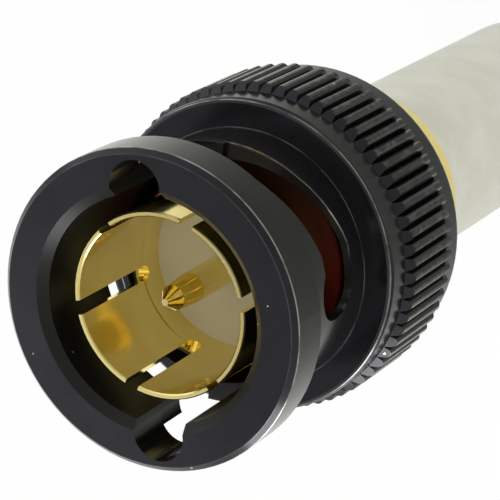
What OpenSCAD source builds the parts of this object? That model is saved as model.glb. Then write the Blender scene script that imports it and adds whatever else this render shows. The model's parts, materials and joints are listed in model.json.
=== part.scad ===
// Bayonet-coupling coaxial plug with a crimp ferrule, standing on its cable end.
// Millimetres. The axis of the plug is Z: z = 0 is the cable end of the ferrule
// and the mating face of the coupling nut is on top.
// Depths named "..._depth" are measured from the mating face towards the cable.

/* [Overall] */
// Length from the cable end to the mating face of the nut
overall_length = 39; // [37:0.1:42]

/* [Coupling nut] */
// Length of the nut behind its inner web
skirt_length = 2.4; // [2:0.1:3]
// Diameter of the bore that takes the mating socket
nut_bore = 9.8; // [9.7:0.05:10]
// Chamfer on the edge of the bore
bore_chamfer = 0.38; // [0.2:0.02:0.5]
// Depth at which the bore widens into the chamber for the gasket and washers
chamber_depth = 6; // [5.9:0.05:6.2]
// Diameter of the chamber
chamber_diameter = 10.84; // [10.6:0.02:10.9]
// Diameter of the front flange
flange_diameter = 13.74; // [13.6:0.02:14.4]
// Thickness of the front flange
flange_thickness = 2.25; // [2:0.05:2.5]
// Chamfer on the front edge of the flange
flange_chamfer = 0.24; // [0.1:0.02:0.4]
// Diameter of the neck between the flange and the grip
neck_diameter = 11.54; // [11.4:0.02:12]
// Depth at which the grip ring begins
grip_depth = 8.3; // [8:0.1:8.8]
// Diameter of the smooth bands at both ends of the grip
band_diameter = 14.1; // [14:0.02:14.4]
// Width of the smooth band in front of the ridges
front_band = 1.3; // [1:0.05:1.5]
// Width of the smooth band behind the ridges
rear_band = 1.35; // [1:0.05:1.5]
// Diameter over the ridges of the grip
ridge_diameter = 14.84; // [14.6:0.02:15.2]
// Number of ridges round the grip
ridge_count = 72; // [60:2:80]

/* [Bayonet track] */
// Width of the track that the socket's lugs run in
track_width = 2.35; // [2.2:0.05:2.6]
// Radius at which the axial lead-in grooves are centred
lead_in_radius = 5.22; // [5:0.02:5.4]
// Depth of the flat bottom of the lead-in grooves
lead_in_depth = 5.75; // [5.5:0.05:6]
// Depth of the track's centre where it leaves the lead-in groove
track_start_depth = 4.95; // [4.8:0.05:5.1]
// Depth of the track's centre where its slope gets steeper
track_knee_depth = 5.26; // [5.2:0.02:5.5]
// Depth of the track's centre at the end of the slope
track_end_depth = 6.05; // [5.8:0.05:6.2]
// Depth of the detent's centre
detent_depth = 5.79; // [5.6:0.01:5.9]
// Diameter of the detent
detent_width = 2.6; // [2.5:0.05:2.8]
// Turn of the nut from the lead-in groove to the detent, in degrees
lock_turn = 93.5; // [88:0.5:98]

/* [Outer contact] */
// Diameter of the slotted outer contact
contact_diameter = 8.06; // [8:0.02:8.2]
// Wall of the contact's fingers
finger_wall = 0.24; // [0.16:0.02:0.28]
// Depth of the contact's rim inside the nut
rim_depth = 0.95; // [0.8:0.05:1.4]
// Number of slots in the contact
slot_count = 6; // [4:1:8]
// Width of the slots
slot_width = 0.62; // [0.4:0.02:0.8]
// Length of the slots
slot_length = 5.5; // [5:0.05:5.7]
// Depth of the small step inside the contact, where the fingers begin
seat_depth = 5.9; // [5.6:0.05:6.2]
// Turn of the slots from the X axis, in degrees
slot_turn = 5; // [0:0.5:30]

/* [Body] */
// Depth of the insulator's front face
reference_depth = 7.35; // [7:0.05:7.6]
// Depth of the front face of the gasket
gasket_depth = 7.9; // [7.7:0.1:8.3]
// Thickness of the gasket
gasket_thickness = 1.5; // [1.2:0.1:1.8]
// Depth of the front end of the shell's sleeve, which backs the ends of the contact's slots
sleeve_depth = 5.8; // [5.5:0.1:6.2]
// Wall of the shell's sleeve
sleeve_wall = 0.14; // [0.1:0.02:0.2]
// Thickness of the shell's collar that the curved washer bears on
collar_thickness = 1.2; // [1:0.1:1.4]
// Length of the outer contact's foot inside the shell
contact_foot = 0.9; // [0.7:0.1:1.1]
// Height that the curved washer keeps when the nut is pulled forward, over its thickness
spring_reserve = 0.08; // [0.04:0.02:0.12]
// Thickness of the curved washer
spring_thickness = 0.24; // [0.2:0.02:0.28]
// Thickness of the slip washer
slip_thickness = 0.28; // [0.2:0.02:0.32]
// Thickness of the nut's inner web
web_thickness = 1.2; // [1:0.1:1.4]
// Width of the ring between the shell and the nut's bore, which holds the washers
washer_room = 1.15; // [1.05:0.05:1.25]
// Wall of the shell behind the collar
shell_wall = 0.65; // [0.5:0.05:0.75]
// Length over which the bearing cap is screwed on the shell
thread_length = 3.4; // [3:0.1:3.8]
// Diameter of the shoulder behind the nut
shoulder_diameter = 10.2; // [9.9:0.05:10.3]
// Length of the shoulder and the bearing cap inside the nut
shoulder_length = 6.5; // [6.2:0.1:7]

/* [Centre pin] */
// Diameter of the centre pin
pin_diameter = 1.36; // [1.2:0.02:1.5]
// Depth of the pin's tip inside the nut
tip_depth = 1.5; // [1.2:0.05:1.8]
// Length of the cone at the pin's tip
pin_cone = 0.66; // [0.5:0.02:1]
// Diameter of the pin behind its cone
pin_nose = 1.08; // [0.9:0.02:1.16]
// Length of the slow taper from the pin's nose to its full diameter
pin_taper = 1.4; // [0.6:0.1:1.8]
// Diameter of the flat on the pin's tip
pin_tip = 0.3; // [0.2:0.02:0.5]
// Diameter of the hole for the cable's inner conductor
wire_hole = 1.1; // [0.8:0.05:1.2]
// Wall of the pin's cup round the inner conductor
cup_wall = 0.4; // [0.3:0.05:0.5]
// Step from the pin's cup up to its collar
collar_step = 0.35; // [0.25:0.05:0.45]
// Diameter of the solder hole in the pin's side
solder_hole = 0.6; // [0.5:0.05:0.7]
// Step from the pin up to its thicker part inside the insulator
pin_step = 0.2; // [0.18:0.01:0.25]
// Length of the pin inside the insulators before its collar
pin_seat = 5.95; // [5.5:0.05:6.4]
// Length of the collar that holds the pin between the insulators
pin_collar = 1.0; // [0.8:0.1:1.2]
// Length of the pin behind the rear insulator
pin_tail = 2.6; // [2.2:0.1:3]

/* [Cable end] */
// Outside diameter of the crimp ferrule
ferrule_diameter = 8.55; // [8.3:0.05:8.8]
// Wall of the crimp ferrule
ferrule_wall = 0.45; // [0.3:0.05:0.6]
// Length of the cap's seat that the ferrule is pushed on
ferrule_seat = 2.0; // [1.6:0.1:2.4]
// Bore of the stem that takes the cable's insulation
stem_bore = 4.8; // [4.4:0.05:5]
// Outside diameter of the stem that the braid is crimped on
stem_diameter = 5.6; // [5.4:0.05:5.8]
// Length of the stem behind the ferrule's seat
stem_length = 10.6; // [9:0.1:12]
// Number of braid-grip rings turned on the stem
stem_rings = 13; // [8:1:15]
// Plain length of the stem at both ends of its rings
ring_margin = 0.4; // [0.3:0.05:0.5]
// Height of the rings
ring_height = 0.12; // [0.08:0.01:0.15]

/* [Clearances and edges] */
// Radial running clearance of the nut on the shell
running_gap = 0.07; // [0.03:0.01:0.1]
// Radial clearance with which the shell's collar passes the nut's bore
collar_gap = 0.1; // [0.05:0.01:0.1]
// Radial clearance of the nut round the shoulder
shoulder_gap = 0.26; // [0.15:0.01:0.35]
// Forward travel of the nut against the curved washer
nut_travel = 0.4; // [0.2:0.05:0.45]
// Chamfer that breaks a turned edge
edge = 0.15; // [0.1:0.01:0.2]
// Radius of the rounded edges at both ends of the grip
grip_round = 0.22; // [0.1:0.02:0.3]

/* [Hidden] */
$fn = 96;

eps = 0.01;
// how far a cut runs past the piece it cuts
over = 1;
// radii
bore_r = nut_bore / 2;
flange_r = flange_diameter / 2;
neck_r = neck_diameter / 2;
band_r = band_diameter / 2;
ridge_r = ridge_diameter / 2;
root_r = band_r - 0.05;
contact_r = contact_diameter / 2;
finger_r = contact_r - finger_wall;
seat_r = finger_r - 0.03;
sleeve_r = contact_r + sleeve_wall;
bearing_r = bore_r - washer_room;
shoulder_r = shoulder_diameter / 2;
pin_r = pin_diameter / 2;
ferrule_r = ferrule_diameter / 2;
ferrule_bore_r = ferrule_r - ferrule_wall;
stem_r = stem_diameter / 2;
stem_bore_r = stem_bore / 2;
shell_bore_r = bearing_r - shell_wall;
wire_r = wire_hole / 2;
cup_r = wire_r + cup_wall;
pin_body_r = pin_r + pin_step;
pin_collar_r = cup_r + collar_step;
collar_r = bore_r - collar_gap;
gasket_r = bore_r - collar_gap / 2;
chamber_r = chamber_diameter / 2;
rear_bore_r = shoulder_r + shoulder_gap;
cut_r = track_width / 2;
detent_r = detent_width / 2;
// depths behind the mating face
collar_depth = gasket_depth + gasket_thickness;
contact_end = collar_depth + contact_foot;
collar_end = collar_depth + collar_thickness;
spring_space = spring_thickness + nut_travel + spring_reserve;
slip_depth = collar_end + spring_space;
web_depth = slip_depth + slip_thickness + 0.02;
web_end = web_depth + web_thickness;
nut_length = web_end + skirt_length;
cap_depth = web_end + 0.1;
shell_end = cap_depth + thread_length;
cap_end = cap_depth + shoulder_length;
seat_end = cap_end + ferrule_seat;
stem_end = seat_end + stem_length;
insulator_split = reference_depth + pin_seat;
pin_collar_end = insulator_split + pin_collar;
pin_end = shell_end + pin_tail;
ridge_start = grip_depth + front_band;
ridge_end = nut_length - rear_band;
slot_end = rim_depth + slot_length;
// the track's centre line: [turn, depth], with the end a hair short of the detent's rear edge
track_path = [[0.1 * lock_turn, track_start_depth], [0.45 * lock_turn, track_knee_depth],
              [0.82 * lock_turn, track_end_depth], [lock_turn, detent_depth + detent_r - cut_r + 0.02]];

// A turned solid from [radius, depth] corners.
module turned(corners)
    rotate_extrude()
        polygon([for (c = corners) [c[0], overall_length - c[1]]]);

// Rounded outer corner between a face at depth d and a cylinder of radius r;
// way is 1 on a front corner and -1 on a rear one.
function rounded(r, d, size, way) =
    let (arc = way == 1 ? [0 : 30 : 90] : [90 : -30 : 0])
    [for (a = arc) [r - size * (1 - sin(a)), d + way * size * (1 - cos(a))]];

// Grip ridges: a ring whose outline swells to a broad, rounded crest at every pitch.
module ridges() {
    pitch = 360 / ridge_count;
    rise = ridge_r - root_r;
    steps = 6;
    intersection() {
        translate([0, 0, overall_length - ridge_end])
            linear_extrude(ridge_end - ridge_start)
                polygon([for (i = [0 : ridge_count * steps - 1])
                    let (side = abs(2 * (i % steps) / steps - 1),
                         radius = root_r + rise * (1 - pow(side, 3)))
                    radius * [cos(pitch * i / steps), sin(pitch * i / steps)]]);
        turned([[0, ridge_start - eps], [root_r, ridge_start - eps], [ridge_r + eps, ridge_start + 0.36],
                [ridge_r + eps, ridge_end - 0.24], [root_r + 0.02, ridge_end + eps], [0, ridge_end + eps]]);
    }
}

// One bayonet track: the axial lead-in groove, the sloped slot and the detent.
module track() {
    steps = 15;
    start = track_path[0][0];
    turn = (lock_turn - start) / steps;
    half = (neck_r + 0.2) * tan(turn / 2);
    // lead-in groove: a half-round bottom and straight sides that open into the bore
    translate([lead_in_radius, 0, overall_length - lead_in_depth])
        cylinder(r = cut_r, h = lead_in_depth + over, $fn = 64);
    translate([0, -0.985 * cut_r, overall_length - lead_in_depth])
        cube([lead_in_radius, 1.97 * cut_r, lead_in_depth + over]);
    // the slot, in short straight lengths along its centre line
    for (i = [0 : steps - 1]) {
        from = lookup(start + turn * i, track_path);
        to = lookup(start + turn * (i + 1), track_path);
        rotate([0, 0, -start - turn * (i + 0.5)])
            translate([0, 0, overall_length])
                rotate([90, 0, 90])
                    linear_extrude(neck_r + over)
                        polygon([[-half, -to - cut_r], [half, -from - cut_r],
                                 [half, -from + cut_r], [-half, -to + cut_r]]);
    }
    // the detent, stepped towards the mating face
    rotate([0, 0, -lock_turn])
        translate([0, 0, overall_length - detent_depth])
            rotate([0, 90, 0])
                cylinder(r = detent_r, h = neck_r + over, $fn = 64);
}

module coupling_nut()
    color([0.17, 0.17, 0.19])
    difference() {
        union() {
            turned(concat(
                [[bore_r + bore_chamfer, 0], [flange_r - flange_chamfer, 0], [flange_r, flange_chamfer],
                 [flange_r, flange_thickness - edge], [flange_r - edge, flange_thickness],
                 [neck_r, flange_thickness], [neck_r, grip_depth]],
                rounded(band_r, grip_depth, grip_round, 1),
                [[band_r, ridge_start], [root_r - 2 * edge, ridge_start],
                 [root_r - 2 * edge, ridge_end], [band_r, ridge_end]],
                rounded(band_r, nut_length, grip_round, -1),
                [[rear_bore_r + 2 * edge, nut_length], [rear_bore_r, nut_length - 2 * edge],
                 [rear_bore_r, web_end], [bearing_r + running_gap, web_end],
                 [bearing_r + running_gap, web_depth], [chamber_r, web_depth],
                 [chamber_r, chamber_depth + chamber_r - bore_r], [bore_r, chamber_depth],
                 [bore_r, bore_chamfer]]));
            difference() {
                ridges();
                translate([0, 0, overall_length - ridge_end - over])
                    cylinder(r = root_r - 4 * edge, h = ridge_end - ridge_start + 2 * over);
            }
        }
        for (side = [90, 270])
            rotate([0, 0, side]) track();
    }

module outer_contact()
    color([0.86, 0.68, 0.28])
    difference() {
        turned([[finger_r + 0.05, rim_depth], [contact_r - 0.05, rim_depth], [contact_r, rim_depth + 0.05],
                [contact_r, contact_end], [seat_r, contact_end], [seat_r, seat_depth + 0.1],
                [finger_r, seat_depth + 0.02], [finger_r, rim_depth + 0.05]]);
        for (i = [0 : slot_count - 1])
            rotate([0, 0, slot_turn + 360 * i / slot_count])
                translate([finger_r - over, 0, overall_length - slot_end + slot_width / 2])
                    rotate([90, 0, 90])
                        linear_extrude(contact_r - finger_r + 2 * over)
                            polygon(concat(
                                [[slot_width / 2, slot_length + over], [-slot_width / 2, slot_length + over]],
                                [for (a = [180 : 15 : 360]) slot_width / 2 * [cos(a), sin(a)]]));
    }

module shell()
    color([0.84, 0.66, 0.27])
    turned([[contact_r, sleeve_depth], [sleeve_r, sleeve_depth], [sleeve_r, collar_depth],
            [collar_r - 0.1, collar_depth], [collar_r, collar_depth + 0.1],
            [collar_r, collar_end - 0.1], [collar_r - 0.1, collar_end], [bearing_r, collar_end],
            [bearing_r, shell_end - 0.15], [bearing_r - 0.15, shell_end], [shell_bore_r, shell_end],
            [shell_bore_r, contact_end], [contact_r, contact_end]]);

module bearing_cap()
    color([0.84, 0.66, 0.27])
    turned(concat(
        [[bearing_r, cap_depth], [shoulder_r - 0.2, cap_depth], [shoulder_r, cap_depth + 0.2],
         [shoulder_r, cap_end - 0.15], [shoulder_r - 0.15, cap_end],
         [ferrule_bore_r, cap_end], [ferrule_bore_r, seat_end - 0.2],
         [ferrule_bore_r - 0.2, seat_end], [stem_r, seat_end]],
        // braid-grip rings: a saw-tooth outline repeated down the stem
        [for (i = [0 : stem_rings - 1], k = [0 : 1])
            let (step = (stem_length - 2 * ring_margin) / stem_rings)
            k == 0 ? [stem_r, seat_end + ring_margin + step * (i + 0.25)]
                   : [stem_r - ring_height, seat_end + ring_margin + step * (i + 0.6)]],
        [[stem_r, stem_end - 0.35], [stem_r - 0.2, stem_end],
         [stem_bore_r, stem_end], [stem_bore_r, shell_end], [bearing_r, shell_end]]));

module ferrule()
    color([0.78, 0.78, 0.74])
    turned([[ferrule_bore_r, cap_end + 0.04], [ferrule_r - 0.12, cap_end + 0.04],
            [ferrule_r, cap_end + 0.16], [ferrule_r, overall_length - 0.15],
            [ferrule_r - 0.15, overall_length], [ferrule_bore_r + 0.15, overall_length],
            [ferrule_bore_r, overall_length - 0.3]]);

module centre_pin()
    color([0.88, 0.70, 0.28])
    difference() {
        turned([[0, tip_depth], [pin_tip / 2, tip_depth], [pin_nose / 2, tip_depth + pin_cone],
                [pin_r, tip_depth + pin_cone + pin_taper], [pin_r, reference_depth],
                [pin_body_r, reference_depth],
                [pin_body_r, insulator_split], [pin_collar_r, insulator_split],
                [pin_collar_r, pin_collar_end], [cup_r, pin_collar_end],
                [cup_r, pin_end - 0.15], [cup_r - 0.15, pin_end], [0, pin_end]]);
        // hole for the inner conductor, with a cone at its mouth and a solder hole in its side
        translate([0, 0, overall_length - pin_end - over])
            cylinder(r = wire_r, h = pin_end - pin_collar_end + over);
        translate([0, 0, overall_length - pin_end - 0.01])
            cylinder(r1 = wire_r + 0.16, r2 = wire_r - 0.01, h = 0.16);
        translate([0, 0, overall_length - shell_end - pin_tail / 2])
            rotate([0, 90, 0])
                cylinder(r = solder_hole / 2, h = cup_r + over, $fn = 32);
    }

module front_insulator()
    color([0.93, 0.92, 0.88])
    turned([[pin_body_r, reference_depth], [seat_r, reference_depth], [seat_r, contact_end],
            [shell_bore_r, contact_end], [shell_bore_r, insulator_split], [pin_body_r, insulator_split]]);

module rear_insulator()
    color([0.93, 0.92, 0.88])
    turned([[pin_collar_r, insulator_split], [shell_bore_r, insulator_split], [shell_bore_r, shell_end],
            [cup_r, shell_end], [cup_r, pin_collar_end], [pin_collar_r, pin_collar_end]]);

module gasket()
    color([0.62, 0.12, 0.06])
    turned([[sleeve_r, gasket_depth], [gasket_r - 0.08, gasket_depth],
            [gasket_r, gasket_depth + 0.08], [gasket_r, collar_depth - 0.1],
            [gasket_r - 0.1, collar_depth], [sleeve_r, collar_depth]]);

// A washer bent to a shallow arch: its middle bears on the shell's collar and
// its two ends bear on the slip washer.
module curved_washer() {
    outer_r = bore_r - 0.25;
    rise = spring_space - spring_thickness;
    bend_r = (outer_r * outer_r + rise * rise) / (2 * rise);
    color([0.80, 0.80, 0.82])
    intersection() {
        translate([0, 0, overall_length - slip_depth])
            difference() {
                cylinder(r = outer_r, h = spring_space);
                translate([0, 0, -over]) cylinder(r = bearing_r + 0.1, h = spring_space + 2 * over);
            }
        translate([0, outer_r + over, overall_length - collar_end - bend_r])
            rotate([90, 0, 0])
                difference() {
                    cylinder(r = bend_r, h = 2 * (outer_r + over), $fn = 360);
                    translate([0, 0, -over])
                        cylinder(r = bend_r - spring_thickness, h = 2 * outer_r + 4 * over, $fn = 360);
                }
    }
}

module slip_washer()
    color([0.80, 0.80, 0.82])
    turned([[bearing_r + 0.08, slip_depth], [bore_r - 0.15, slip_depth],
            [bore_r - 0.15, slip_depth + slip_thickness], [bearing_r + 0.08, slip_depth + slip_thickness]]);

coupling_nut();
outer_contact();
shell();
bearing_cap();
ferrule();
centre_pin();
front_insulator();
rear_insulator();
gasket();
curved_washer();
slip_washer();
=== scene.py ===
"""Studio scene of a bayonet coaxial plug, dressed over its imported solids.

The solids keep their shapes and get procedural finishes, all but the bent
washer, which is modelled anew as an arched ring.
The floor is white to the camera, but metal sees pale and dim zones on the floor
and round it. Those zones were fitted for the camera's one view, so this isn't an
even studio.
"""

from __future__ import annotations

import json
import logging
import math
from dataclasses import dataclass, field
from enum import Enum
from typing import Any

import bpy
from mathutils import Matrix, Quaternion, Vector


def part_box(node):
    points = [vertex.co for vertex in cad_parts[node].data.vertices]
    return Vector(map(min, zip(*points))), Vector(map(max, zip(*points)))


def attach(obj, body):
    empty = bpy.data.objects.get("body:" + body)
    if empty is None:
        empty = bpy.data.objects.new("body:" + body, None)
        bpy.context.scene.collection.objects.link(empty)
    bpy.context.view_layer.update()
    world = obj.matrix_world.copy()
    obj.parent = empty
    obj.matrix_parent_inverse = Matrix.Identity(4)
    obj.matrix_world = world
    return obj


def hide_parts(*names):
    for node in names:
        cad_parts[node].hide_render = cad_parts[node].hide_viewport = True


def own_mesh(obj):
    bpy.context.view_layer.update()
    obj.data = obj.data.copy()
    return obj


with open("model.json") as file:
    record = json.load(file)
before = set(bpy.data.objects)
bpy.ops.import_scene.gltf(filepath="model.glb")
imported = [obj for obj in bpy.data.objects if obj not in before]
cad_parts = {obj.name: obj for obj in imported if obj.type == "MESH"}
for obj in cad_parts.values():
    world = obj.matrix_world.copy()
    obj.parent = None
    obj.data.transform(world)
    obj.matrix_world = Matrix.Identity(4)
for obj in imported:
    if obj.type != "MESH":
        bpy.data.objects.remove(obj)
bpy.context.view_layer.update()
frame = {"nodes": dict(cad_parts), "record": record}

LOG = logging.getLogger("plug")
MM = 0.001

Colour = tuple[float, float, float]
Point = tuple[float, float, float]
Span = tuple[float, float]
WHITE = (1.0, 1.0, 1.0, 1.0)
CLOUD_RANGE: Span = (0.3, 0.7)
NOISE_MEAN = 0.5


class Slot(Enum):
    """The record's material slots."""

    BLACK_NICKEL = "black_nickel"
    GOLD = "gold"
    NICKEL = "nickel"
    PTFE = "ptfe"
    SILICONE = "silicone"
    SPRING_STEEL = "spring_steel"


class Value:
    """A shader value that adds Math nodes when it is used in an expression."""

    def __init__(self, bench: "Bench", socket: bpy.types.NodeSocket) -> None:
        """Wraps a socket.

        Args:
            bench: The material that the socket belongs to.
            socket: An output socket that carries a number.
        """
        self.bench = bench
        self.socket = socket

    def _math(self, operation: str, first: Any, second: Any) -> "Value":
        """Adds one Math node.

        Args:
            operation: The node's operation.
            first: A value or a number.
            second: A value or a number.

        Returns:
            The node's result.
        """
        return self.bench.value("ShaderNodeMath", {"operation": operation}, {0: first, 1: second})

    def __add__(self, other: Any) -> "Value":
        """Sum."""
        return self._math("ADD", self, other)

    __radd__ = __add__

    def __mul__(self, other: Any) -> "Value":
        """Product."""
        return self._math("MULTIPLY", self, other)

    __rmul__ = __mul__

    def __sub__(self, other: Any) -> "Value":
        """Difference."""
        return self._math("SUBTRACT", self, other)

    def __rsub__(self, other: Any) -> "Value":
        """Difference from a number."""
        return self._math("SUBTRACT", other, self)

    def __truediv__(self, other: Any) -> "Value":
        """Quotient."""
        return self._math("DIVIDE", self, other)

    def __pow__(self, other: Any) -> "Value":
        """Power."""
        return self._math("POWER", self, other)

    def ramp(self, low: float, high: float) -> "Value":
        """Maps low..high to a smooth 0..1.

        Args:
            low: The input that gives 0.
            high: The input that gives 1.

        Returns:
            The mapped value, clamped.
        """
        return self.bench.value(
            "ShaderNodeMapRange",
            {"interpolation_type": "SMOOTHSTEP"},
            {"Value": self, "From Min": low, "From Max": high, "To Min": 0.0, "To Max": 1.0},
        )

    def ramp_mm(self, span: Span) -> "Value":
        """Maps a span given in millimetres to a smooth 0..1.

        Args:
            span: The lengths that give 0 and 1.

        Returns:
            The mapped value, clamped.
        """
        return self.ramp(span[0] * MM, span[1] * MM)


class Bench:
    """The node tree of a material or a world, and the ways to add to it."""

    def __init__(self, owner: bpy.types.Material | bpy.types.World) -> None:
        """Starts with an empty tree.

        Args:
            owner: The material or the world.
        """
        self.owner = owner
        owner.use_nodes = True
        self.tree = owner.node_tree
        self.tree.nodes.clear()

    def node(self, kind: str, settings: dict[str, Any], inputs: dict[Any, Any]) -> bpy.types.Node:
        """Adds a node.

        Args:
            kind: The node's type.
            settings: Properties, which are set first.
            inputs: Values or links by socket name or number.

        Returns:
            The new node.
        """
        made = self.tree.nodes.new(kind)
        for key, setting in settings.items():
            setattr(made, key, setting)
        for key, given in inputs.items():
            if isinstance(given, Value):
                given = given.socket
            if isinstance(given, bpy.types.NodeSocket):
                self.tree.links.new(given, made.inputs[key])
            else:
                made.inputs[key].default_value = given
        return made

    def value(self, kind: str, settings: dict[str, Any], inputs: dict[Any, Any], output: Any = 0) -> Value:
        """Adds a node and wraps one of its outputs.

        Args:
            kind: The node's type.
            settings: Properties, which are set first.
            inputs: Values or links by socket name or number.
            output: The output's name or number.

        Returns:
            The output as a value.
        """
        return Value(self, self.node(kind, settings, inputs).outputs[output])

    def mix(self, factor: Any, first: Colour, second: Colour) -> bpy.types.NodeSocket:
        """Blends two colours.

        Args:
            factor: A value from 0 to 1.
            first: The colour at 0, or a link.
            second: The colour at 1, or a link.

        Returns:
            The colour's socket.
        """
        ends = [c if isinstance(c, bpy.types.NodeSocket) else (*c, 1.0) for c in (first, second)]
        # The node's number, vector and colour sockets share their names, so the colour ones go by number.
        made = self.node("ShaderNodeMix", {"data_type": "RGBA"}, {"Factor": factor, 6: ends[0], 7: ends[1]})
        return made.outputs[2]

    def place(self) -> bpy.types.NodeSocket:
        """Object coordinates, in metres."""
        return self.node("ShaderNodeTexCoord", {}, {}).outputs["Object"]

    def noise(self, vector: Any, scale: float, detail: float = 3.0, rough: float = 0.5) -> Value:
        """Adds a noise texture.

        Args:
            vector: Where it is read.
            scale: Cells per unit of the vector.
            detail: Octaves.
            rough: Strength of the finer octaves.

        Returns:
            The noise, about 0.5 on average.
        """
        return self.value(
            "ShaderNodeTexNoise", {}, {"Vector": vector, "Scale": scale, "Detail": detail, "Roughness": rough}, "Fac"
        )

    def round_axis(self) -> tuple[Value, Value, Value]:
        """Distance from the Z axis, turn round it in radians, and height."""
        parts = self.node("ShaderNodeSeparateXYZ", {}, {0: self.place()})
        x, y, z = (Value(self, parts.outputs[i]) for i in range(3))
        turn = self.value("ShaderNodeMath", {"operation": "ARCTAN2"}, {0: y, 1: x})
        return (x * x + y * y) ** 0.5, turn, z

    def lathe(self, along: float, round_it: float) -> bpy.types.NodeSocket:
        """Coordinates in which a pattern runs in rings round the Z axis.

        Args:
            along: Stretch over the radius and the height, per metre.
            round_it: Stretch round the axis, per turn.

        Returns:
            A vector of radius, turn and height.
        """
        radius, turn, z = self.round_axis()
        ring = self.value("ShaderNodeMath", {"operation": "SINE"}, {0: turn})
        return self.node(
            "ShaderNodeCombineXYZ", {}, {0: radius * along, 1: ring * round_it, 2: z * along}
        ).outputs[0]

    def finish(self, shader: dict[str, Any], bump: Value | None = None, depth: float = 0.0) -> bpy.types.Material:
        """Closes the tree with a Principled shader.

        Args:
            shader: Its inputs.
            bump: Height from 0 to 1, if any.
            depth: What a height of 1 stands for, in metres.

        Returns:
            The finished material.
        """
        if bump is not None:
            shader["Normal"] = self.node(
                "ShaderNodeBump", {}, {"Strength": 1.0, "Distance": depth, "Height": bump}
            ).outputs[0]
        lit = self.node("ShaderNodeBsdfPrincipled", {}, shader).outputs[0]
        self.node("ShaderNodeOutputMaterial", {}, {"Surface": lit})
        return self.owner


@dataclass(frozen=True)
class HighlightRing:
    """A painted highlight along a turned corner: a circle round the Z axis."""

    radius_mm: float
    z_mm: float
    width_mm: float
    # How strongly the highlight is painted.
    shine: float


@dataclass(frozen=True)
class Slope:
    """A stretch of the bayonet slot: where it starts and ends round the nut, and how far it goes back."""

    start_deg: float
    end_deg: float
    drop_mm: float


@dataclass(frozen=True)
class Plating:
    """A plated, turned metal surface with faint lathe rings and soft cloudiness."""

    name: str
    bright: Colour
    dull: Colour
    roughness: float
    spread: float = 0.08
    rings: float = 9000.0
    ring_turns: float = 0.6
    ring_share: float = 0.5
    ring_depth: float = 0.6e-6
    metallic: float = 1.0
    cloud_scale: float = 420.0
    speck_scale: float = 6500.0
    speck_range: Span = (0.62, 0.78)
    speck_roughness: float = 0.08
    speck_height: float = 0.6

    def mark(
        self, bench: Bench, colour: bpy.types.NodeSocket, rough: Value
    ) -> tuple[bpy.types.NodeSocket, Value]:
        """Gives a finish the chance to add marks of its own; plain plating has none.

        Args:
            bench: The material's tree.
            colour: The plating's colour.
            rough: The plating's roughness.

        Returns:
            The colour and the roughness with the marks.
        """
        return colour, rough

    def build(self) -> bpy.types.Material:
        """Makes the material."""
        bench = Bench(bpy.data.materials.new(self.name))
        rings = bench.noise(bench.lathe(self.rings, self.ring_turns), scale=1.0, detail=2.0)
        cloud = bench.noise(bench.place(), self.cloud_scale, detail=4.0, rough=0.6)
        specks = bench.noise(bench.place(), self.speck_scale, detail=2.0).ramp(*self.speck_range)
        colour = bench.mix(cloud.ramp(*CLOUD_RANGE), self.bright, self.dull)
        rough = cloud * self.spread + rings * (self.spread * self.ring_share) + specks * self.speck_roughness
        average = NOISE_MEAN * (1 + self.ring_share) * self.spread
        colour, rough = self.mark(bench, colour, rough + (self.roughness - average))
        return bench.finish(
            {"Base Color": colour, "Metallic": self.metallic, "Roughness": rough},
            rings + specks * self.speck_height,
            self.ring_depth,
        )


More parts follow.
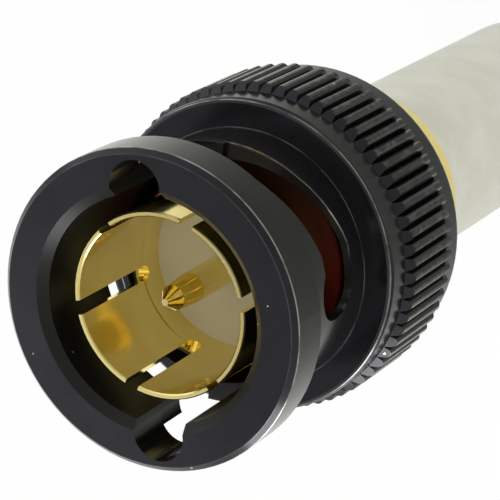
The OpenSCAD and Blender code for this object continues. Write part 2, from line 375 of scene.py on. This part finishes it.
@dataclass(frozen=True)
class NutPlating(Plating):
    """The nut's black plating: painted highlights on corners, slot edges and crests, dust, and painted shade with a
    rougher tone inside.
    """

    # Painted highlights along the turned corners of the flange and the grip.
    corners: tuple[HighlightRing, ...] = (
        HighlightRing(6.87, 38.76, 0.055, 0.75),
        HighlightRing(6.63, 39.0, 0.035, 0.12),
        HighlightRing(6.72, 36.75, 0.030, 0.3),
        HighlightRing(6.98, 30.67, 0.060, 0.6),
        HighlightRing(5.77, 30.70, 0.045, 0.35),
    )
    slopes: tuple[Slope, ...] = (Slope(9.35, 42.1, 0.31), Slope(42.1, 76.7, 0.79), Slope(76.7, 93.5, -0.1))
    slot_z_mm: float = 32.875
    slot_start_deg: Span = (4.0, 10.0)
    slot_end_deg: Span = (77.0, 85.0)
    bore_mm: Span = (5.24, 5.32)
    neck_inner_mm: Span = (5.60, 5.70)
    neck_edge_mm: Span = (5.70, 5.74)
    neck_outer_mm: Span = (5.80, 5.90)
    flange_back_mm: Span = (36.6, 36.9)
    crest_mm: Span = (7.34, 7.42)
    # Strength of the painted highlight on the grip's crests.
    crest_highlight: float = 0.16
    slot_line_mm: Span = (0.01, 0.05)
    # Strength of the painted highlight along the slots' rear edge.
    slot_highlight: float = 0.8
    corner_core: float = 0.35
    # Noise that breaks the painted highlights into patches.
    highlight_patch_scale: float = 650.0
    highlight_patch_range: Span = (0.32, 0.62)
    highlight_patch_least: float = 0.2
    crest_patch_scale: float = 2600.0
    crest_patch_range: Span = (0.45, 0.7)
    # The colour of the painted highlights.
    painted_highlight: Colour = (0.55, 0.54, 0.50)
    # Painted shade inside the bore and the slots.
    painted_inner_shade: Colour = (0.021, 0.021, 0.020)
    inner_roughness: float = 0.16
    dust: Colour = (0.75, 0.75, 0.74)
    dust_scale: float = 1400.0
    dust_chance: Span = (0.76, 1.0)
    dust_size: float = 0.085
    dust_blur: float = 0.03

    def slot_edge(self, bench: Bench, turn: Value) -> tuple[Value, Value]:
        """Finds the rear edge of the nut's bayonet slots, the same in both halves of a turn.

        Args:
            bench: The material's tree.
            turn: The turn round the axis, in radians.

        Returns:
            Its height in metres, and 1 where the edge runs, 0 elsewhere.
        """
        gone = bench.value(
            "ShaderNodeMath", {"operation": "FLOORED_MODULO"}, {0: math.pi / 2 - turn, 1: math.pi}
        )
        back = gone * 0.0
        for slope in self.slopes:
            ends = {"From Min": math.radians(slope.start_deg), "From Max": math.radians(slope.end_deg)}
            share = bench.value("ShaderNodeMapRange", {}, {"Value": gone, **ends})
            back = back + share * (slope.drop_mm * MM)
        start, end = (
            gone.ramp(*map(math.radians, span)) for span in (self.slot_start_deg, self.slot_end_deg)
        )
        return self.slot_z_mm * MM - back, start * (1 - end)

    def inside(self, radius: Value, z: Value) -> Value:
        """Marks the bore and the slots' walls.

        Args:
            radius: Distance from the axis.
            z: Height.

        Returns:
            1 inside, 0 outside.
        """
        bore = 1 - radius.ramp_mm(self.bore_mm)
        slots = (1 - radius.ramp_mm(self.neck_inner_mm)) * (1 - z.ramp_mm(self.flange_back_mm))
        return radius.bench.value("ShaderNodeMath", {"operation": "MAXIMUM"}, {0: bore, 1: slots})

    def specks(self, bench: Bench) -> Value:
        """Strews a few specks of dust.

        Args:
            bench: The material's tree.

        Returns:
            1 on a speck, 0 elsewhere.
        """
        cells = bench.node("ShaderNodeTexVoronoi", {}, {"Vector": bench.place(), "Scale": self.dust_scale})
        chance = bench.value("ShaderNodeSeparateColor", {}, {0: cells.outputs["Color"]})
        size = chance.ramp(*self.dust_chance) * self.dust_size
        return (size - Value(bench, cells.outputs["Distance"])).ramp(0.0, self.dust_blur)

    def mark(
        self, bench: Bench, colour: bpy.types.NodeSocket, rough: Value
    ) -> tuple[bpy.types.NodeSocket, Value]:
        """Paints shade inside, paints highlights on corners, slot edges and crests, and strews dust.

        Args:
            bench: The material's tree.
            colour: The plating's colour.
            rough: The plating's roughness.

        Returns:
            The colour and the roughness with the marks.
        """
        radius, turn, z = bench.round_axis()
        inside = self.inside(radius, z)
        # Painted shade darkens the bore and the slots' walls.
        colour = bench.mix(inside, colour, self.painted_inner_shade)
        patches = bench.noise(bench.place(), self.highlight_patch_scale, rough=0.65).ramp(*self.highlight_patch_range)
        highlight_patches = patches * (1 - self.highlight_patch_least) + self.highlight_patch_least
        # Painted highlights along the turned corners, in patches.
        for corner in self.corners:
            off_r, off_z = radius - corner.radius_mm * MM, z - corner.z_mm * MM
            near = (off_r * off_r + off_z * off_z) ** 0.5
            line = 1 - near.ramp_mm((self.corner_core * corner.width_mm, corner.width_mm))
            colour = bench.mix(line * highlight_patches * corner.shine, colour, self.painted_highlight)
        # A painted highlight along the slots' rear edge, in patches.
        edge_z, runs = self.slot_edge(bench, turn)
        off = z - edge_z
        line = (1 - ((off * off) ** 0.5).ramp_mm(self.slot_line_mm)) * radius.ramp_mm(self.neck_edge_mm)
        line = line * (1 - radius.ramp_mm(self.neck_outer_mm)) * runs
        colour = bench.mix(line * highlight_patches * self.slot_highlight, colour, self.painted_highlight)
        # A painted highlight on the grip's crests, in patches.
        crest_patches = bench.noise(bench.place(), self.crest_patch_scale, rough=0.7).ramp(*self.crest_patch_range)
        colour = bench.mix(radius.ramp_mm(self.crest_mm) * crest_patches * self.crest_highlight, colour, self.painted_highlight)
        return bench.mix(self.specks(bench), colour, self.dust), rough + inside * self.inner_roughness


@dataclass(frozen=True)
class Moulding:
    """A plain moulded or turned plastic or rubber surface with a fine grain."""

    name: str
    light: Colour
    dark: Colour
    roughness: float
    shine: float = 0.5
    cloud_scale: float = 380.0
    grain: float = 5200.0
    grain_depth: float = 2.0e-6
    grain_roughness: float = 0.16

    def mark(self, bench: Bench, colour: bpy.types.NodeSocket, cloud: Value) -> bpy.types.NodeSocket:
        """Gives a finish the chance to add marks of its own; a plain moulding has none.

        Args:
            bench: The material's tree.
            colour: The moulding's colour.
            cloud: Its cloudiness.

        Returns:
            The colour with the marks.
        """
        return colour

    def build(self) -> bpy.types.Material:
        """Makes the material."""
        bench = Bench(bpy.data.materials.new(self.name))
        cloud = bench.noise(bench.place(), self.cloud_scale)
        grain = bench.noise(bench.place(), self.grain, rough=0.6)
        colour = self.mark(bench, bench.mix(cloud.ramp(*CLOUD_RANGE), self.light, self.dark), cloud)
        rough = grain * self.grain_roughness + (self.roughness - NOISE_MEAN * self.grain_roughness)
        shader = {"Base Color": colour, "Roughness": rough, "Specular IOR Level": self.shine}
        return bench.finish(shader, grain, self.grain_depth)


@dataclass(frozen=True)
class PaintedShadeRubber(Moulding):
    """Rubber with shade painted on one side. Rubber that is toned down on one side, by choice of look;
    the cause of the dark side isn't known.
    """

    shaded_side_deg: float = 58.0
    painted_side_shade: Colour = (0.010, 0.006, 0.005)
    side_range: Span = (0.45, 1.0)
    side_depth: float = 0.6
    side_cloud: float = 0.3

    def mark(self, bench: Bench, colour: bpy.types.NodeSocket, cloud: Value) -> bpy.types.NodeSocket:
        """Paints shade on one side.

        Args:
            bench: The material's tree.
            colour: The rubber's colour.
            cloud: Its cloudiness.

        Returns:
            The colour with the painted shade.
        """
        # Painted shade, deepest on one side of the axis and patchy with the cloud.
        turn = bench.round_axis()[1] - math.radians(self.shaded_side_deg)
        side = bench.value("ShaderNodeMath", {"operation": "COSINE"}, {0: turn})
        depth = cloud * self.side_cloud + self.side_depth
        return bench.mix(side.ramp(*self.side_range) * depth, colour, self.painted_side_shade)


FINISHES: dict[Slot, Plating | Moulding] = {
    Slot.BLACK_NICKEL: NutPlating(
        "black_nickel", (0.034, 0.034, 0.038), (0.026, 0.027, 0.030), 0.18, metallic=0.75
    ),
    Slot.GOLD: Plating("gold_plate", (0.95, 0.81, 0.33), (0.89, 0.73, 0.265), 0.14, spread=0.06),
    Slot.NICKEL: Plating(
        "satin_nickel", (0.86, 0.85, 0.75), (0.79, 0.78, 0.68), 0.30, spread=0.12, metallic=0.92
    ),
    Slot.PTFE: Moulding("fluoropolymer", (0.62, 0.58, 0.46), (0.56, 0.52, 0.40), 0.42),
    # The silicone gets shade painted on one side.
    Slot.SILICONE: PaintedShadeRubber("silicone", (0.130, 0.010, 0.004), (0.095, 0.007, 0.003), 0.50, shine=0.15),
    Slot.SPRING_STEEL: Plating("spring_steel", (0.60, 0.60, 0.61), (0.52, 0.52, 0.54), 0.24),
}


@dataclass
class Plug:
    """The plug's solids and their finishes."""

    materials: dict[Slot, bpy.types.Material] = field(default_factory=dict)

    def dress(self) -> None:
        """Gives every solid the finish of its slot."""
        for slot, finish in FINISHES.items():
            self.materials[slot] = finish.build()
        slots = {part["node"]: part["material_slot"] for part in frame["record"]["subparts"]}
        for name, solid in frame["nodes"].items():
            slot = Slot(slots[name])
            solid.data.materials.clear()
            solid.data.materials.append(self.materials[slot])
            LOG.info("%s: %s", name, slot.value)


@dataclass
class SpringWasher:
    """The bent washer that pushes the nut back. The real one flattens as the nut is pulled forward; this one keeps
    its arch.
    """

    node: str = "curved_washer"
    ring_width: float = 0.80 * MM
    thickness: float = 0.24 * MM
    corners: int = 96
    loops: int = 3
    flattened: float = 0.42
    smooth_deg: float = 40.0

    def ring(self, radius: float) -> bpy.types.Object:
        """Adds a flat ring of quads at the origin, facing up.

        Args:
            radius: Its outer radius, in metres.

        Returns:
            The ring.
        """
        bpy.ops.object.select_all(action="DESELECT")
        bpy.ops.mesh.primitive_circle_add(vertices=self.corners, radius=radius, location=(0, 0, 0))
        piece = bpy.context.object
        bpy.ops.object.mode_set(mode="EDIT")
        bpy.ops.mesh.select_all(action="SELECT")
        width = self.ring_width / self.loops
        for loop in range(self.loops):
            share = (radius - (loop + 1) * width) / (radius - loop * width)
            bpy.ops.mesh.extrude_edges_indiv()
            bpy.ops.transform.resize(value=(share, share, 1.0), center_override=(0, 0, 0))
        bpy.ops.mesh.select_all(action="SELECT")
        bpy.ops.mesh.normals_make_consistent(inside=False)
        bpy.ops.object.mode_set(mode="OBJECT")
        if piece.data.polygons[0].normal.z < 0:
            bpy.ops.object.mode_set(mode="EDIT")
            bpy.ops.mesh.flip_normals()
            bpy.ops.object.mode_set(mode="OBJECT")
        return piece

    def build(self, finish: bpy.types.Material) -> None:
        """Bends the ring to its arch and gives it its thickness.

        Args:
            finish: The spring steel.
        """
        low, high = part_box(self.node)
        radius, crown = high[0], high[2]
        rise = crown - low[2] - self.thickness
        bend = (radius * radius + rise * rise) / (2 * rise)
        piece = self.ring(radius)
        piece.name = piece.data.name = "spring_washer"
        for corner in piece.data.vertices:
            corner.co.z = crown - bend + math.sqrt(bend * bend - corner.co.x**2)
        bpy.ops.object.modifier_add(type="SOLIDIFY")
        wall = piece.modifiers[-1]
        wall.thickness, wall.offset, wall.use_even_offset = self.thickness, -1.0, True
        bpy.ops.object.modifier_apply(modifier=wall.name)
        bpy.ops.object.shade_smooth_by_angle(angle=math.radians(self.smooth_deg))
        piece.data.materials.append(finish)
        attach(piece, "plug_body")
        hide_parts(self.node)
        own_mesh(piece)
        LOG.info("%s: %s", piece.name, Slot.SPRING_STEEL.value)


@dataclass
class Studio:
    """Floor, surround, lamp and camera, with the zones that metal sees fitted for the camera's view."""

    floor_half: float = 0.6
    eye_mm: Point = (51.50, 28.83, 119.88)
    aim_mm: Point = (-0.07, 0.12, 30.04)
    roll_deg: float = -119.74
    lens_mm: float = 178.1
    sensor_mm: float = 36.0
    show_white: float = 0.93
    matt_floor: Colour = (0.9, 0.9, 0.9)
    foot_floor: Colour = (0.74, 0.75, 0.72)
    near_floor: Colour = (0.45, 0.46, 0.38)
    far_floor: Colour = (0.98, 1.00, 0.93)
    dark_card: Colour = (0.26, 0.26, 0.27)
    pale_card: Colour = (1.00, 1.00, 0.98)
    floor_range: Span = (-0.5, 0.9)
    card_pairs: float = 2.0
    card_turn: float = 0.4
    card_range: Span = (-0.6, 0.6)
    foot_mm: Span = (17.0, 22.0)
    cards_mm: Span = (34.0, 60.0)
    near_wall: Colour = (0.46, 0.46, 0.45)
    far_wall: Colour = (1.35, 1.35, 1.37)
    near_ceiling: Colour = (1.15, 1.15, 1.10)
    far_ceiling: Colour = (0.34, 0.34, 0.38)
    wall_range: Span = (-0.6, 0.8)
    ceiling_range: Span = (-0.6, 0.1)
    ceiling_edge: Span = (0.73, 0.84)
    lamp_mm: Point = (70.0, -260.0, 90.0)
    lamp_aim_mm: Point = (0.0, 0.0, 30.0)
    lamp_side: float = 0.12
    lamp_watts: float = 0.25

    def towards_eye(self, x: Value, y: Value) -> Value:
        """Tells how far a place or a direction lies on the eye's side.

        Args:
            x: Its x.
            y: Its y.

        Returns:
            Its length along the eye's compass direction.
        """
        turn = math.atan2(self.eye_mm[1], self.eye_mm[0])
        return x * math.cos(turn) + y * math.sin(turn)

    def mirrored_floor(self, bench: Bench) -> bpy.types.NodeSocket:
        """Colours the floor as metal sees it: pale at the foot, dim on the eye's side, cards further out.

        Args:
            bench: The floor's tree.

        Returns:
            The colour.
        """
        parts = bench.node("ShaderNodeSeparateXYZ", {}, {0: bench.place()})
        x, y = (Value(bench, parts.outputs[i]) for i in range(2))
        out = (x * x + y * y) ** 0.5
        towards = self.towards_eye(x, y) / (out + MM)
        middle = bench.mix(towards.ramp(*self.floor_range), self.far_floor, self.near_floor)
        way = bench.value("ShaderNodeMath", {"operation": "ARCTAN2"}, {0: y, 1: x})
        card = bench.value("ShaderNodeMath", {"operation": "SINE"}, {0: way * self.card_pairs + self.card_turn})
        cards = bench.mix(card.ramp(*self.card_range), self.dark_card, self.pale_card)
        floor = bench.mix(out.ramp_mm(self.foot_mm), self.foot_floor, middle)
        return bench.mix(out.ramp_mm(self.cards_mm), floor, cards)

    def floor(self) -> None:
        """Adds the floor: white to the eye with a soft shadow; reflections see pale and dim cards on it."""
        bpy.ops.object.select_all(action="DESELECT")
        bpy.ops.mesh.primitive_plane_add(size=2 * self.floor_half, location=(0, 0, 0))
        plane = bpy.context.object
        plane.name = "floor"
        bench = Bench(bpy.data.materials.new("floor_white"))
        path = bench.node("ShaderNodeLightPath", {}, {})
        to_eye, glossy, through = (
            Value(bench, path.outputs[n]) for n in ("Is Camera Ray", "Is Glossy Ray", "Is Transmission Ray")
        )
        matt = bench.node("ShaderNodeBsdfDiffuse", {}, {"Color": (*self.matt_floor, 1.0)}).outputs[0]
        white = bench.node("ShaderNodeEmission", {}, {"Color": WHITE, "Strength": 1.0}).outputs[0]
        mirrored = bench.node("ShaderNodeEmission", {}, {"Color": self.mirrored_floor(bench), "Strength": 1.0})
        shown = (to_eye + through) * self.show_white
        seen = bench.node("ShaderNodeMixShader", {}, {0: shown, 1: matt, 2: white}).outputs[0]
        both = bench.node("ShaderNodeMixShader", {}, {0: glossy, 1: seen, 2: mirrored.outputs[0]})
        bench.node("ShaderNodeOutputMaterial", {}, {"Surface": both.outputs[0]})
        plane.data.materials.append(bench.owner)

    def world(self) -> None:
        """Sets the surround: walls that are dim on the eye's side, under a ceiling that is dim on the far side."""
        world = bpy.data.worlds.new("surround")
        bpy.context.scene.world = world
        bench = Bench(world)
        way = bench.node("ShaderNodeTexCoord", {}, {}).outputs["Generated"]
        parts = bench.node("ShaderNodeSeparateXYZ", {}, {0: way})
        x, y, z = (Value(bench, parts.outputs[i]) for i in range(3))
        towards = self.towards_eye(x, y)
        wall = bench.mix(towards.ramp(*self.wall_range), self.far_wall, self.near_wall)
        ceiling = bench.mix(towards.ramp(*self.ceiling_range), self.far_ceiling, self.near_ceiling)
        tent = bench.mix(z.ramp(*self.ceiling_edge), wall, ceiling)
        lit = bench.node("ShaderNodeBackground", {}, {"Color": tent}).outputs[0]
        white = bench.node("ShaderNodeBackground", {}, {"Color": WHITE}).outputs[0]
        to_eye = Value(bench, bench.node("ShaderNodeLightPath", {}, {}).outputs["Is Camera Ray"])
        both = bench.node("ShaderNodeMixShader", {}, {0: to_eye, 1: lit, 2: white})
        bench.node("ShaderNodeOutputWorld", {}, {"Surface": both.outputs[0]})

    def lamp(self) -> None:
        """Adds one square soft lamp."""
        bpy.ops.object.light_add(type="AREA", location=[c * MM for c in self.lamp_mm])
        lamp = bpy.context.object
        lamp.name = "key"
        lamp.data.shape = "SQUARE"
        lamp.data.size = self.lamp_side
        lamp.data.energy = self.lamp_watts
        way = Vector(self.lamp_aim_mm) - Vector(self.lamp_mm)
        lamp.rotation_euler = way.to_track_quat("-Z", "Y").to_euler()

    def camera(self) -> None:
        """Adds the camera and makes it the scene's own."""
        bpy.ops.object.camera_add(location=[c * MM for c in self.eye_mm])
        eye = bpy.context.object
        eye.name = "camera"
        look = (Vector(self.aim_mm) - Vector(self.eye_mm)).to_track_quat("-Z", "Y")
        eye.rotation_mode = "QUATERNION"
        eye.rotation_quaternion = look @ Quaternion((0, 0, 1), math.radians(self.roll_deg))
        eye.data.sensor_width = self.sensor_mm
        eye.data.lens = self.lens_mm
        eye.data.clip_start = MM
        bpy.context.scene.camera = eye

    def build(self) -> None:
        """Builds the whole studio."""
        self.floor()
        self.world()
        self.lamp()
        self.camera()
        bpy.context.scene.view_settings.view_transform = "Standard"


def main() -> None:
    """Builds the scene in order."""
    logging.basicConfig(level=logging.INFO, format="%(name)s: %(message)s")
    Studio().build()
    plug = Plug()
    plug.dress()
    SpringWasher().build(plug.materials[Slot.SPRING_STEEL])


if __name__ == "__main__":
    main()
